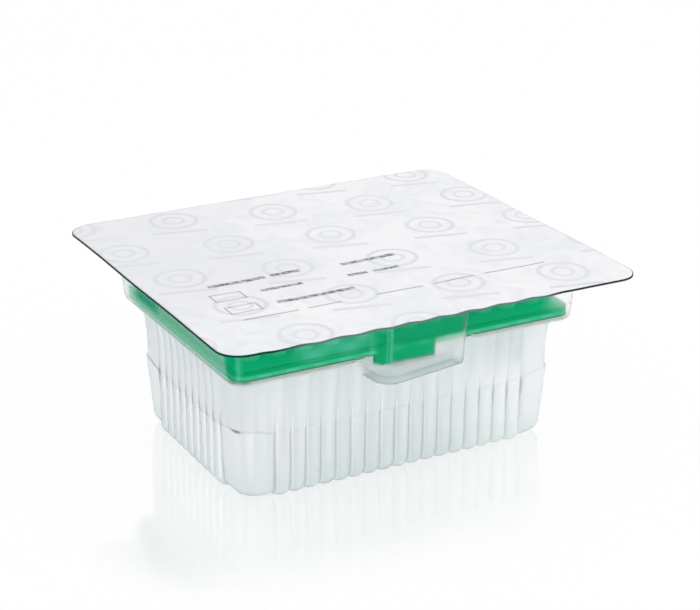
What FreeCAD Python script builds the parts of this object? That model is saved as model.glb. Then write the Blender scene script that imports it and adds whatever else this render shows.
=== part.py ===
import FreeCAD
import Part
import Sketcher

import math
import os

# A sealed refill pack of 96 pipette tips: a thermoformed clear tray with a wide flat flange and
# fluted sides, a printed film sealed on the flange, and inside it a tip plate that carries the
# tips in 12 columns of 8. Millimetres, +Z up, origin at the middle of the underside.
# X runs along the long side, and the thumb recess is on the -Y side.

SIZES = {
    # Tips and their grid
    "tip_pitch": 9.0,
    "tip_columns": 12,
    "tip_rows": 8,
    "tip_floor_gap": 5.3,
    "tip_length": 52.8,
    "collar_height": 12.6,
    "collar_radius": 3.5,
    "collar_bore": 2.8,
    "shoulder_radius": 2.7,
    "shank_radius": 2.3,
    "shank_height": 33.0,
    "knee_height": 21.0,
    "knee_radius": 1.9,
    "point_radius": 0.6,
    "point_bore": 0.3,
    "tip_wall": 0.5,
    # Tip plate
    "plate_margin_x": 9.0,
    "plate_margin_y": 11.2,
    "plate_radius": 4.5,
    "rim_height": 2.7,
    "deck_gauge": 1.5,
    "skirt_gauge": 1.3,
    "hole_clearance": 0.15,
    "tab_width": 21.0,
    "tab_shift": 2.0,
    "tab_drop": 3.8,
    # Clear tray: sheet, flange and upper wall
    "sheet_gauge": 0.5,
    "head_gap": 2.55,
    "flange_margin_x": 12.1,
    "flange_margin_y": 20.3,
    "flange_radius": 8.0,
    "plate_clearance": 0.9,
    "upper_flare": 1.7,
    "ledge_round": 1.1,
    # Clear tray: fluted lower body
    "body_margin": 6.3,
    "body_radius": 6.0,
    "crease_height": 22.4,
    "crease_step": 0.4,
    "step_height": 0.7,
    "waist_height": 30.0,
    "neck_drop": 1.8,
    "neck_flare": 0.7,
    "ledge_flare": 1.5,
    "toe_inset": 1.3,
    "toe_round": 4.1,
    "toe_height": 4.0,
    "flute_pitch": 5.143,
    "flutes_long": 17,
    "flutes_short": 9,
    "flute_rise_floor": 2.5,
    "flute_rise_toe": 1.8,
    "flute_rise_crease": 0.45,
    "flute_rise_ledge": 0.15,
    # Clear tray: thumb recess over the tab
    "recess_drop": 7.6,
    "recess_width_bottom": 28.0,
    "recess_width_top": 31.0,
    "recess_reach_bottom": 5.2,
    "recess_reach_top": 6.9,
    "recess_radius": 4.0,
    "recess_round": 1.0,
    "recess_flare": 26.0,
    "recess_shift": 1.5,
    "recess_skew": 4.0,
    "recess_tilt": 3.5,
    # Sealed film
    "film_gauge": 0.15,
    "film_margin": 0.3,
}

# Places that pieces share, worked out from the sizes by the second sheet.
PLACES = {
    "grid_x": "(sizes.tip_columns - 1) * sizes.tip_pitch / 2",
    "grid_y": "(sizes.tip_rows - 1) * sizes.tip_pitch / 2",
    "deck_top": "sizes.tip_floor_gap + sizes.tip_length - sizes.collar_height",
    "seat": "deck_top - sizes.rim_height",
    "flange_top": "sizes.tip_floor_gap + sizes.tip_length + sizes.head_gap",
    "plate_x": "grid_x + sizes.plate_margin_x",
    "plate_y": "grid_y + sizes.plate_margin_y",
    "flange_x": "plate_x + sizes.flange_margin_x",
    "flange_y": "plate_y + sizes.flange_margin_y",
    "body_x": "grid_x + sizes.body_margin",
    "body_y": "grid_y + sizes.body_margin",
    "ledge_under": "seat - sizes.sheet_gauge",
    "recess_bottom": "seat - sizes.recess_drop",
}

# How far a cutting form runs on past the face that it opens, and how far inside the plate's edge
# the recess forms start. Neither shows on a finished piece.
OVERRUN = 1.0
RECESS_ROOT = 14.0
# Steps that the rounding of the foot is made in.
TOE_STEPS = 3

doc = FreeCAD.newDocument("tip_pack")
sizes = doc.addObject("Spreadsheet::Sheet", "sizes")
for row, (alias, value) in enumerate(SIZES.items(), start=1):
    sizes.set(f"A{row}", alias)
    sizes.set(f"B{row}", str(value))
    sizes.setAlias(f"B{row}", alias)
doc.recompute()
places = doc.addObject("Spreadsheet::Sheet", "places")
for row, (alias, formula) in enumerate(PLACES.items(), start=1):
    places.set(f"A{row}", alias)
    places.setAlias(f"B{row}", alias)
    places.set(f"B{row}", "=" + formula)
doc.recompute()


def size(alias):
    """A driving size, from the first sheet."""
    return float(sizes.get(alias))


def place(alias):
    """A worked-out place, from the second sheet."""
    return float(places.get(alias))


def worth(formula):
    """What a formula of the two sheets comes to."""
    return float(places.evalExpression(formula))


# ---------------------------------------------------------------- sketches


def attach(body, sketch, height):
    """Puts a body's sketch on its own XY plane, at a height given as an expression."""
    plane = next(f for f in body.Origin.OriginFeatures if f.Role == "XY_Plane")
    sketch.AttachmentSupport = [(plane, "")]
    sketch.MapMode = "FlatFace"
    sketch.setExpression("AttachmentOffset.Base.z", height)


def datum(sketch, name, formula, *constraint):
    """Adds a named dimension to a sketch and binds it to a formula."""
    index = sketch.addConstraint(Sketcher.Constraint(*constraint))
    sketch.renameConstraint(index, name)
    sketch.setExpression(f"Constraints.{name}", formula)


def rounded_rectangle(sketch, half_x, half_y, radius):
    """A rectangle centred on the origin with four equal rounded corners, all sizes as formulas."""
    guess_x, guess_y, guess_r = worth(half_x), worth(half_y), worth(radius)
    vector = FreeCAD.Vector
    corners = [(1, -1, -90), (1, 1, 0), (-1, 1, 90), (-1, -1, 180)]
    arcs = []
    for side_x, side_y, start in corners:
        centre = vector(side_x * (guess_x - guess_r), side_y * (guess_y - guess_r), 0)
        circle = Part.Circle(centre, vector(0, 0, 1), guess_r)
        arc = Part.ArcOfCircle(circle, math.radians(start), math.radians(start + 90))
        arcs.append(sketch.addGeometry(arc))
    lines = []
    for index, arc in enumerate(arcs):
        after = arcs[(index + 1) % 4]
        first = sketch.Geometry[arc].EndPoint
        last = sketch.Geometry[after].StartPoint
        lines.append(sketch.addGeometry(Part.LineSegment(first, last)))
    for index, line in enumerate(lines):
        after = arcs[(index + 1) % 4]
        sketch.addConstraint(Sketcher.Constraint("Tangent", arcs[index], 2, line, 1))
        sketch.addConstraint(Sketcher.Constraint("Tangent", line, 2, after, 1))
        level = "Vertical" if index % 2 == 0 else "Horizontal"
        sketch.addConstraint(Sketcher.Constraint(level, line))
    for arc in arcs[1:]:
        sketch.addConstraint(Sketcher.Constraint("Equal", arcs[0], arc))
    datum(sketch, "corner", radius, "Radius", arcs[0], guess_r)
    right, back, left, front = lines
    datum(sketch, "to_right", half_x, "DistanceX", -1, 1, right, 1, guess_x)
    datum(sketch, "to_left", half_x, "DistanceX", left, 1, -1, 1, guess_x)
    datum(sketch, "to_back", half_y, "DistanceY", -1, 1, back, 1, guess_y)
    datum(sketch, "to_front", half_y, "DistanceY", front, 1, -1, 1, guess_y)


def block(sketch, left, right, front, back):
    """A plain rectangle in a sketch. The formulas say how far its left and right sides are from
    the origin, and how far its front and its back side both are from it towards -Y."""
    left_at, right_at, front_at, back_at = [worth(side) for side in (left, right, front, back)]
    points = [
        FreeCAD.Vector(x, y, 0)
        for x, y in (
            (-left_at, -front_at), (right_at, -front_at), (right_at, -back_at), (-left_at, -back_at)
        )
    ]
    lines = [
        sketch.addGeometry(Part.LineSegment(points[i], points[(i + 1) % 4])) for i in range(4)
    ]
    for index, line in enumerate(lines):
        after = lines[(index + 1) % 4]
        sketch.addConstraint(Sketcher.Constraint("Coincident", line, 2, after, 1))
        level = "Horizontal" if index % 2 == 0 else "Vertical"
        sketch.addConstraint(Sketcher.Constraint(level, line))
    datum(sketch, "to_left", left, "DistanceX", lines[0], 1, -1, 1, left_at)
    datum(sketch, "to_right", right, "DistanceX", -1, 1, lines[0], 2, right_at)
    datum(sketch, "to_front", front, "DistanceY", lines[0], 1, -1, 1, front_at)
    datum(sketch, "to_back", back, "DistanceY", lines[2], 1, -1, 1, back_at)


def new_sketch(body, name, height):
    """A sketch of a body at a height."""
    sketch = body.newObject("Sketcher::SketchObject", name)
    attach(body, sketch, height)
    return sketch


def pad(body, name, sketch, length):
    """A pad upwards from a sketch, by a formula."""
    feature = body.newObject("PartDesign::Pad", name)
    feature.Profile = sketch
    feature.setExpression("Length", length)
    sketch.Visibility = False
    return feature


# ---------------------------------------------------------------- clear tray


def free_section(name, height, half_x, half_y, radius):
    """A rounded rectangle standing free at a height, for a loft."""
    sketch = doc.addObject("Sketcher::SketchObject", name)
    rounded_rectangle(sketch, half_x, half_y, radius)
    sketch.setExpression("Placement.Base.z", height)
    return sketch


def loft(name, sections):
    """A solid with straight rulings through closed sections."""
    feature = doc.addObject("Part::Loft", name)
    feature.Sections = sections
    feature.Solid = True
    feature.Ruled = True
    return feature


def upper_form(name, inset, bottom, top):
    """The upper pocket round the plate, its walls inset by a formula, between two heights."""
    half_x = f"places.plate_x + sizes.plate_clearance + sizes.sheet_gauge - {inset}"
    half_y = f"places.plate_y + sizes.plate_clearance + sizes.sheet_gauge - {inset}"
    radius = f"sizes.plate_radius + sizes.plate_clearance + sizes.sheet_gauge - {inset}"
    rounding = f"(sizes.ledge_round - {inset})"
    levels = [
        ("foot", bottom, f" - {rounding}"),
        ("heel", f"{bottom} + {rounding}", ""),
        ("brim", top, " + sizes.upper_flare"),
    ]
    sections = [
        free_section(f"{name}_{label}", height, half_x + more, half_y + more, radius + more)
        for label, height, more in levels
    ]
    return loft(name, sections)


def recess_section(height, reach, width, inset, tilt):
    """The thumb recess in plan: a trapezoid that widens towards the wall, its two front corners
    rounded. It stands a little to the right, its front turned by the skew, and its plane leans by
    the tilt. Reach counts from the upper wall's outside at the ledge."""
    wall = place("plate_y") + size("plate_clearance") + size("sheet_gauge")
    front = wall + reach - inset
    root = place("plate_y") - RECESS_ROOT
    flare = math.radians(size("recess_flare"))
    half_front = width / 2 - inset
    half_root = half_front + (front - root) * math.tan(flare)
    radius = size("recess_radius") - inset
    half_turn = (math.pi / 2 - flare) / 2
    tangent = radius * math.tan(half_turn)
    sagitta = radius * (1 / math.cos(half_turn) - 1)
    skew = math.tan(math.radians(size("recess_skew")))
    slope = math.tan(math.radians(tilt))

    def spot(x, y):
        return FreeCAD.Vector(x + size("recess_shift"), y + x * skew, height + x * slope)

    def corner(side):
        along_x, along_y = side * math.sin(flare), math.cos(flare)
        middle_x, middle_y = along_x - side, along_y
        length = math.hypot(middle_x, middle_y)
        return (
            spot(side * half_front + along_x * tangent, -front + along_y * tangent),
            spot(side * half_front + middle_x / length * sagitta,
                 -front + middle_y / length * sagitta),
            spot(side * half_front - side * tangent, -front),
        )

    left, right = corner(-1), corner(1)
    back_left, back_right = spot(-half_root, -root), spot(half_root, -root)
    return Part.Wire([
        Part.makeLine(back_right, back_left),
        Part.makeLine(back_left, left[0]),
        Part.Arc(*left).toShape(),
        Part.makeLine(left[2], right[2]),
        Part.Arc(*reversed(right)).toShape(),
        Part.makeLine(right[0], back_right),
    ])


def recess_form(name, inset, bottom, top):
    """The thumb recess as a solid, drafted from its bottom to its top."""
    rounding = size("recess_round")
    wide, deep = size("recess_width_bottom"), size("recess_reach_bottom")
    tilt = size("recess_tilt")
    wires = [
        recess_section(bottom, deep - rounding, wide - 2 * rounding, inset, tilt),
        recess_section(bottom + rounding, deep, wide, inset, tilt),
        recess_section(top, size("recess_reach_top"), size("recess_width_top"), inset, 0.0),
    ]
    feature = doc.addObject("Part::Feature", name)
    feature.Shape = Part.makeLoft(wires, True, True)
    return feature


def flute_side(count, half_side, rise, inset):
    """One fluted side in its own plane: points along the side and outwards from the post's face.

    Returns edges as tuples of points, two for a line and three for an arc, from left to right.
    Each flute is an arc over one pitch that rises from the valleys at its two ends. A form inset
    by the sheet's gauge has every arc drawn in by it, and a small arc round each valley."""
    half = size("flute_pitch") / 2
    bow = (half**2 + rise**2) / (2 * rise)
    lean_x = half / bow
    lean_y = (bow - rise) / bow
    first = -count * half
    edges = [((-half_side, -inset), (first, -inset))]
    for flute in range(count):
        left = first + flute * 2 * half
        right = left + 2 * half
        start = (left + inset * lean_x, -inset * lean_y)
        end = (right - inset * lean_x, -inset * lean_y)
        if inset and flute == 0:
            edges.append(valley(left, 0.0, lean_x, inset))
        edges.append((start, ((left + right) / 2, rise - inset), end))
        if inset:
            last = flute == count - 1
            edges.append(valley(right, -lean_x, 0.0 if last else lean_x, inset))
    edges.append(((-first, -inset), (half_side, -inset)))
    return edges


def valley(at, lean_before, lean_after, inset):
    """The small arc inside a valley, between two leanings of the flutes beside it."""
    before = math.asin(lean_before)
    after = math.asin(lean_after)
    return tuple(
        (at + inset * math.sin(angle), -inset * math.cos(angle))
        for angle in (before, (before + after) / 2, after)
    )


def fluted_section(height, outwards, radius, rise, inset):
    """The body's outline at a height: rounded corners, plain posts and the flutes between them."""
    half_x = place("body_x") + outwards
    half_y = place("body_y") + outwards
    vector = FreeCAD.Vector
    counts = {"long": int(size("flutes_long")), "short": int(size("flutes_short"))}
    sides = [
        ("long", half_x, half_y, 0),
        ("short", half_y, half_x, 90),
        ("long", half_x, half_y, 180),
        ("short", half_y, half_x, 270),
    ]
    edges = []
    for kind, along, out, turn in sides:
        angle = math.radians(turn)
        run = vector(math.cos(angle), math.sin(angle), 0)
        normal = vector(math.sin(angle), -math.cos(angle), 0)

        def spot(point):
            return run * point[0] + normal * (out + point[1]) + vector(0, 0, height)

        for points in flute_side(counts[kind], along - radius, rise, inset):
            spots = [spot(point) for point in points]
            if len(spots) == 2:
                edges.append(Part.makeLine(*spots))
            else:
                edges.append(Part.Arc(*spots).toShape())
        centre = (along - radius, -radius)
        corner = [
            spot((centre[0] + (radius - inset) * math.sin(turned),
                  centre[1] + (radius - inset) * math.cos(turned)))
            for turned in (0, math.pi / 4, math.pi / 2)
        ]
        edges.append(Part.Arc(*corner).toShape())
    return Part.Wire(edges)


def body_form(name, inset, bottom, top):
    """The fluted lower body as a solid: a rounded foot, the drafted flutes up to the crease, a
    small step there, and the waist that flares into the ledge."""
    sections = []
    for step in range(TOE_STEPS + 1):
        angle = math.radians(90 * step / TOE_STEPS)
        drawn_in = 1 - math.sin(angle)
        height = bottom + (size("toe_height") - inset) * (1 - math.cos(angle))
        outwards = -size("toe_inset") - (size("toe_round") - inset) * drawn_in
        rise = size("flute_rise_toe")
        rise += (size("flute_rise_floor") - size("flute_rise_toe")) * drawn_in
        sections.append((height, outwards, rise))
    crease = size("crease_height")
    neck = place("ledge_under") - size("neck_drop")
    step_in = -size("crease_step")
    sections.append((crease, 0.0, size("flute_rise_crease")))
    sections.append((crease + size("step_height"), step_in, size("flute_rise_crease")))
    sections.append((size("waist_height"), step_in, size("flute_rise_crease")))
    sections.append((neck, size("neck_flare"), size("flute_rise_crease")))
    sections.append((top, size("ledge_flare"), size("flute_rise_ledge")))
    wires = [
        fluted_section(height, outwards, size("body_radius"), rise, inset)
        for height, outwards, rise in sections
    ]
    feature = doc.addObject("Part::Feature", name)
    feature.Shape = Part.makeLoft(wires, True, True)
    return feature


def flange():
    """The flat flange round the top of the tray."""
    body = doc.addObject("PartDesign::Body", "flange")
    outline = new_sketch(body, "flange_outline", "places.flange_top - sizes.sheet_gauge")
    rounded_rectangle(outline, "places.flange_x", "places.flange_y", "sizes.flange_radius")
    pad(body, "flange_pad", outline, "sizes.sheet_gauge")
    return body


def blister_tray():
    """The tray: its outer forms joined to the flange, less its inner forms."""
    gauge = size("sheet_gauge")
    seat, under = place("seat"), place("ledge_under")
    brim = place("flange_top") - gauge / 2
    outer = doc.addObject("Part::MultiFuse", "tray_outside")
    outer.Shapes = [
        flange(),
        upper_form("upper_outside", "0", "places.ledge_under",
                   "places.flange_top - sizes.sheet_gauge / 2"),
        body_form("body_outside", 0.0, 0.0, under + gauge / 2),
        recess_form("recess_outside", 0.0, place("recess_bottom"), brim),
    ]
    inner = doc.addObject("Part::MultiFuse", "tray_inside")
    inner.Shapes = [
        upper_form("upper_inside", "sizes.sheet_gauge", "places.seat",
                   f"places.flange_top + {OVERRUN}"),
        body_form("body_inside", gauge, gauge, seat + gauge / 2),
        recess_form("recess_inside", gauge, place("recess_bottom") + gauge,
                    place("flange_top") + OVERRUN),
    ]
    tray = doc.addObject("Part::Cut", "blister_tray")
    tray.Base = outer
    tray.Tool = inner
    return tray


# ---------------------------------------------------------------- film, plate and tips


def seal_film():
    """The printed film, sealed flat on the flange."""
    body = doc.addObject("PartDesign::Body", "seal_film")
    outline = new_sketch(body, "film_outline", "places.flange_top")
    rounded_rectangle(
        outline,
        "places.flange_x - sizes.film_margin",
        "places.flange_y - sizes.film_margin",
        "sizes.flange_radius - sizes.film_margin",
    )
    pad(body, "film_pad", outline, "sizes.film_gauge")
    return body


def tip_plate():
    """The plate: a deck with a skirt all round, a hole for each tip and a tab at the front."""
    body = doc.addObject("PartDesign::Body", "tip_plate")
    outline = new_sketch(body, "plate_outline", "places.seat")
    rounded_rectangle(outline, "places.plate_x", "places.plate_y", "sizes.plate_radius")
    pad(body, "plate_pad", outline, "sizes.rim_height")

    under = new_sketch(body, "skirt_inside", "places.seat")
    rounded_rectangle(
        under,
        "places.plate_x - sizes.skirt_gauge",
        "places.plate_y - sizes.skirt_gauge",
        "sizes.plate_radius - sizes.skirt_gauge",
    )
    hollow = body.newObject("PartDesign::Pocket", "skirt_hollow")
    hollow.Profile = under
    hollow.Reversed = True
    hollow.setExpression("Length", "sizes.rim_height - sizes.deck_gauge")

    tab = new_sketch(body, "tab_outline", "places.seat - sizes.tab_drop")
    block(
        tab,
        "sizes.tab_width / 2 + sizes.tab_shift",
        "sizes.tab_width / 2 - sizes.tab_shift",
        "places.plate_y",
        "places.plate_y - sizes.skirt_gauge",
    )
    pad(body, "tab_pad", tab, "sizes.tab_drop + sizes.rim_height - sizes.deck_gauge")

    spot = new_sketch(body, "hole_outline", "places.deck_top")
    bore_radius = "sizes.shoulder_radius + sizes.hole_clearance"
    start = FreeCAD.Vector(-place("grid_x"), -place("grid_y"), 0)
    circle = Part.Circle(start, FreeCAD.Vector(0, 0, 1), worth(bore_radius))
    hole = spot.addGeometry(circle)
    datum(spot, "bore", bore_radius, "Radius", hole, circle.Radius)
    datum(spot, "from_x", "places.grid_x", "DistanceX", hole, 3, -1, 1, -start.x)
    datum(spot, "from_y", "places.grid_y", "DistanceY", hole, 3, -1, 1, -start.y)
    bore = body.newObject("PartDesign::Pocket", "tip_hole")
    bore.Profile = spot
    bore.setExpression("Length", "sizes.rim_height")
    doc.recompute()

    grid = body.newObject("PartDesign::MultiTransform", "tip_holes")
    grid.Originals = [bore]
    steps = []
    for name, axis, count in (("along_x", "H_Axis", "tip_columns"), ("along_y", "V_Axis", "tip_rows")):
        step = body.newObject("PartDesign::LinearPattern", name)
        step.Direction = (spot, [axis])
        step.setExpression("Length", f"(sizes.{count} - 1) * sizes.tip_pitch")
        step.setExpression("Occurrences", f"sizes.{count}")
        steps.append(step)
    grid.Transformations = steps
    body.Tip = grid
    return body


def tip_section(sketch):
    """Half of a tip's section: a collar whose shoulder sits on the deck, a straight shank, a
    slender point, and the bore right through."""
    length = "sizes.tip_length"
    shoulder = "sizes.tip_length - sizes.collar_height"
    corners = [
        ("sizes.point_bore", None),
        ("sizes.point_radius", None),
        ("sizes.knee_radius", "sizes.knee_height"),
        ("sizes.shank_radius", "sizes.shank_height"),
        ("sizes.shoulder_radius", shoulder),
        ("sizes.collar_radius", shoulder),
        ("sizes.collar_radius", length),
        ("sizes.collar_bore", length),
        ("sizes.shank_radius - sizes.tip_wall", "sizes.shank_height"),
        ("sizes.knee_radius - sizes.tip_wall", "sizes.knee_height"),
    ]
    points = [
        FreeCAD.Vector(worth(radius), worth(height) if height else 0, 0)
        for radius, height in corners
    ]
    count = len(points)
    lines = [
        sketch.addGeometry(Part.LineSegment(points[i], points[(i + 1) % count]))
        for i in range(count)
    ]
    for index, line in enumerate(lines):
        after = lines[(index + 1) % count]
        sketch.addConstraint(Sketcher.Constraint("Coincident", line, 2, after, 1))
    for index, (radius, height) in enumerate(corners):
        x, y = points[index].x, points[index].y
        datum(sketch, f"radius_{index}", radius, "DistanceX", -1, 1, lines[index], 1, x)
        if height:
            datum(sketch, f"height_{index}", height, "DistanceY", -1, 1, lines[index], 1, y)
        else:
            sketch.addConstraint(Sketcher.Constraint("PointOnObject", lines[index], 1, -1))


def tip_column(column):
    """One column of tips, as many as the plate has rows, each a solid of its own."""
    name = f"tips_column_{column + 1:02d}"
    body = doc.addObject("PartDesign::Body", name)
    body.AllowCompound = True
    sketch = body.newObject("Sketcher::SketchObject", f"{name}_section")
    roles = {feature.Role: feature for feature in body.Origin.OriginFeatures}
    sketch.AttachmentSupport = [(roles["XZ_Plane"], "")]
    sketch.MapMode = "FlatFace"
    tip_section(sketch)
    turned = body.newObject("PartDesign::Revolution", f"{name}_turned")
    turned.Profile = sketch
    turned.ReferenceAxis = (sketch, ["V_Axis"])
    turned.Angle = 360
    sketch.Visibility = False
    doc.recompute()
    rows = body.newObject("PartDesign::LinearPattern", f"{name}_rows")
    rows.Originals = [turned]
    rows.Direction = (roles["Y_Axis"], [""])
    rows.setExpression("Length", "(sizes.tip_rows - 1) * sizes.tip_pitch")
    rows.setExpression("Occurrences", "sizes.tip_rows")
    body.Tip = rows
    body.setExpression("Placement.Base.x", f"{column} * sizes.tip_pitch - places.grid_x")
    body.setExpression("Placement.Base.y", "-places.grid_y")
    body.setExpression("Placement.Base.z", "sizes.tip_floor_gap")
    return body


# ---------------------------------------------------------------- the pack

pieces = [blister_tray(), seal_film(), tip_plate()]
pieces += [tip_column(column) for column in range(int(size("tip_columns")))]
doc.recompute()

for thing in doc.Objects:
    if "Invalid" in thing.State or "Error" in thing.State:
        raise RuntimeError(f"{thing.Label} failed: {thing.State}")
for piece in pieces:
    if piece.Shape.isNull() or not piece.Shape.isValid() or not piece.Shape.Solids:
        raise RuntimeError(f"{piece.Label} has no valid solid")

os.makedirs("parts", exist_ok=True)
for piece in pieces:
    piece.Shape.exportStep(f"parts/{piece.Label}.step")
    print(f"{piece.Label}: {len(piece.Shape.Solids)} solid, {piece.Shape.Volume / 1000:.2f} cm3")
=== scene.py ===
import math

import bmesh
import bpy
import numpy as np
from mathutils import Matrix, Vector


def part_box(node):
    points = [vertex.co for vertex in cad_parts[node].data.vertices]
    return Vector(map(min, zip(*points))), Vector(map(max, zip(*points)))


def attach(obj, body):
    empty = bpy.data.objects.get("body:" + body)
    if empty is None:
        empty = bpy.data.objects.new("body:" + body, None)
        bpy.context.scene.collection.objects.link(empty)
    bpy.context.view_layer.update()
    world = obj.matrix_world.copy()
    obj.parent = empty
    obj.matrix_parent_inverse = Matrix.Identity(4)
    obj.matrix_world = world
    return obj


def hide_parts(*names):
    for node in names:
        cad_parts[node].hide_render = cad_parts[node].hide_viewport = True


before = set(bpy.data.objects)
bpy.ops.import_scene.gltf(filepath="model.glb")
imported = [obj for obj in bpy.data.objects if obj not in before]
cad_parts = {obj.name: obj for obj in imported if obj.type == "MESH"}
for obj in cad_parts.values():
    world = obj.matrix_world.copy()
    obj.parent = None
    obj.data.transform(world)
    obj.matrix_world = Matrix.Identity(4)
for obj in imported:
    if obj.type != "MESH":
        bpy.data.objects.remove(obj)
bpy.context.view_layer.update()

# A sealed refill pack of pipette tips. The clear tray and the printed film are modelled here in
# fine meshes round the CAD frame; the plate and the tips are the frame's own. Lengths are in
# millimetres until a mesh is made.

MM = 0.001

# ---------------------------------------------------------------- places taken from the frame


def box_mm(node):
    low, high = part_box(node)
    return low / MM, high / MM


tray_high = box_mm("blister_tray")[1]
film_high = box_mm("seal_film")[1]
plate_high = box_mm("tip_plate")[1]
first_low, first_high = box_mm("tips_column_01")
last_low, last_high = box_mm("tips_column_12")

TOP = tray_high.z
FLANGE = (tray_high.x, tray_high.y)
PLATE = (plate_high.x, plate_high.y)
DECK = plate_high.z
# half the spread of the tips' grid, from middle to middle of the outermost tips
GRID_X = (last_high.x + last_low.x) / 2
GRID_Y = (first_high.y - first_low.y) / 2 - (first_high.x - first_low.x) / 2

# ---------------------------------------------------------------- sizes of the tray

GAUGE = 0.5
# the plate's rim stands on the ledge
RIM = 2.7
SEAT = DECK - RIM
LEDGE = SEAT - GAUGE
# the lower body's half sizes at its crease, between the flutes
BODY_ROUND_GRID = 6.3
BODY = (GRID_X + BODY_ROUND_GRID, GRID_Y + BODY_ROUND_GRID)
BODY_R = 6.0
# the upper pocket's half sizes at the ledge
UPPER_ROUND_PLATE = 1.4
UPPER = (PLATE[0] + UPPER_ROUND_PLATE, PLATE[1] + UPPER_ROUND_PLATE)
UPPER_R = 5.9
UPPER_FLARE = 1.7
FLANGE_R = 8.0
# the groove where the upper wall turns into the ledge
LIP_R, LIP_DROP = 2.0, 1.1
# the rounding from the upper wall into the flange
BRIM_R = 0.8
PITCH = 5.143
FLUTES = (17, 9)
CREASE = 21.4
# the foot: how high its rounding reaches, how far it draws the wall in, and the draft above it
TOE_HIGH, TOE_IN, TOE_DRAFT = 4.0, 4.1, 1.3
# how far a flute rises from its valleys at the toe, and how much more on the floor
FLUTE_RISE, FLUTE_MORE = 1.8, 0.7
# at the crease: how deep the valleys lie behind the posts, and how far a flute rises from them
VALLEY_DEEP, CREASE_RISE = 0.55, 0.95


def smooth(a, b, x):
    """0 at a, 1 at b, with a smooth step between them."""
    t = min(max((x - a) / (b - a), 0.0), 1.0)
    return t * t * (3 - 2 * t)


def mix(a, b, t):
    return a + (b - a) * t


def near(value, middle, half):
    """1 at the middle, falling to 0 at half away from it."""
    return max(1 - abs(value - middle) / half, 0.0)


def table(x, rows):
    """The value at x on straight lines from row to row, each row an (x, value)."""
    if x <= rows[0][0]:
        return rows[0][1]
    for (xa, va), (xb, vb) in zip(rows, rows[1:]):
        if x <= xb:
            return mix(va, vb, (x - xa) / (xb - xa))
    return rows[-1][1]


def soft_max(a, b, k):
    """The larger of two values, rounded over k where they are alike."""
    h = max(k - abs(a - b), 0.0) / k
    return max(a, b) + h * h * k / 4


# ---------------------------------------------------------------- waves of the flange and the film


FRONT_WAVE, BACK_WAVE = 11.4, 19.0
# how deep the front's waves are, how far its right end hangs, and how deep the back's waves and
# the short sides' ones are
FRONT_DEEP, RIGHT_HANGS, BACK_DEEP, SIDE_DEEP = 0.42, 0.35, 0.12, 0.2


def front_wave(x, turn=0.0):
    """The front's uneven waves, from -1 to 1."""
    return math.sin(2 * math.pi * (x + 2.2 * math.sin(x / 17.0)) / FRONT_WAVE + turn)


def sag(x, y):
    """How far the flange and its film stand above their flat plane: 0 or less."""
    out_y = smooth(46.5, 62.0, abs(y))
    out_x = smooth(62.0, 70.0, abs(x))
    drop = 0.0
    if y < 0:
        span = smooth(-66.0, -52.0, x) * (1 - smooth(30.0, 52.0, x))
        drop += FRONT_DEEP * out_y * span * (0.55 + 0.45 * front_wave(x))
        drop += RIGHT_HANGS * out_y * smooth(20.0, 66.0, x)
    else:
        wave = 0.5 + 0.5 * math.sin(2 * math.pi * (x + 3.0 * math.sin(x / 23.0)) / BACK_WAVE)
        drop += BACK_DEEP * out_y * wave
    drop += SIDE_DEEP * out_x * (0.5 + 0.5 * math.sin(y / 9.0 + 1.0))
    return -drop


# ---------------------------------------------------------------- the tray's columns and rows

# where a flute's columns stand, in halves of the pitch from its middle
BENDS = (-1, -0.94, -0.82, -0.62, -0.38, -0.13, 0.13, 0.38, 0.62, 0.82, 0.94)
# where a post's columns stand, as shares of its width from the last flute
POST_STEPS = (0.0, 0.12, 0.35, 0.62, 0.85)
CORNER_STEPS = 11
# the places along the front that need finer columns, for the recess's two ends
RECESS_ENDS, RECESS_STEP = ((-19.5, -9.0), (12.5, 24.0)), 0.36


def refined(spots):
    """The front's places, with more of them at the recess's ends."""
    fine = []
    for a, b in zip(spots, spots[1:]):
        close = any(low < (a + b) / 2 < high for low, high in RECESS_ENDS)
        parts = math.ceil((b - a) / RECESS_STEP) if close else 1
        fine += [mix(a, b, i / parts) if i else a for i in range(parts)]
    return fine + [spots[-1]]


def side_columns(side):
    """Columns along one side, from its left corner to its right.

    Each is the side, its kind, its place and its share. A flute's place is its distance along the
    side from the middle. A post's place is -1 at the left and 1 at the right, and its share is 0
    at the last flute and 1 at the corner. A corner's place runs from 0 to 1 round its arc."""
    edge = FLUTES[side % 2] * PITCH / 2
    middles = [-edge + (flute + 0.5) * PITCH for flute in range(FLUTES[side % 2])]
    spots = [middle + bend * PITCH / 2 for middle in middles for bend in BENDS] + [edge]
    if side == 0:
        spots = refined(spots)
    columns = [(side, "post", -1, 1 - step) for step in POST_STEPS]
    columns += [(side, "flute", x, 0) for x in spots]
    columns += [(side, "post", 1, 1 - step) for step in reversed(POST_STEPS)]
    columns += [(side, "corner", step / CORNER_STEPS, 0) for step in range(1, CORNER_STEPS)]
    return columns


COLUMNS = [column for side_index in range(4) for column in side_columns(side_index)]


def spot(column, half, radius, bulge=0.0):
    """A column's place on a rounded rectangle of those half sizes, moved outwards by its bulge."""
    side, kind, place, share = column
    along_half, out_half = (half[0], half[1]) if side % 2 == 0 else (half[1], half[0])
    turn = side * math.pi / 2
    run = (math.cos(turn), math.sin(turn))
    way = (math.sin(turn), -math.cos(turn))
    reach = along_half - radius
    if kind == "corner":
        angle = place * math.pi / 2
        along = reach + (radius + bulge) * math.sin(angle)
        out = out_half - radius + (radius + bulge) * math.cos(angle)
    else:
        edge = FLUTES[side % 2] * PITCH / 2
        along = place if kind == "flute" else place * (edge + (reach - edge) * share)
        out = out_half + bulge
    return run[0] * along + way[0] * out, run[1] * along + way[1] * out


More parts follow.
